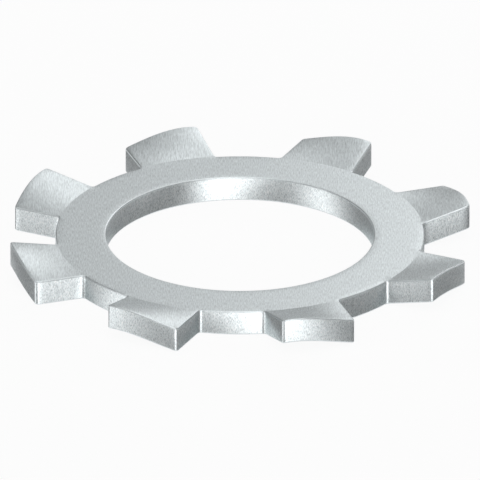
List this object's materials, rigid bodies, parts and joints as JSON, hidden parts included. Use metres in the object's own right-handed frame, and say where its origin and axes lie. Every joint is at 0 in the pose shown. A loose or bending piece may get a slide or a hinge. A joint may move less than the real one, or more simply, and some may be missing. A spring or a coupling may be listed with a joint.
{
  "type": "external tooth lock washer",
  "caption": "Flat spring steel ring with twisted teeth around its outer edge that bite under a bolt head or nut so that it doesn't work loose.",
  "frame": {"origin": "on the bore axis, in the plane of the ring's bottom face, on which the washer lies", "axes": "+Z along the bore axis, towards the side that the teeth rise to; +X through the middle of one tooth"},
  "size_m": [0.0146, 0.0146, 0.0012],
  "materials": {
    "zinc_steel": "spring steel, bright zinc plated, satin and slightly grainy"
  },
  "bodies": {
    "root": {"washer": "zinc_steel"}
  },
  "joints": []
}
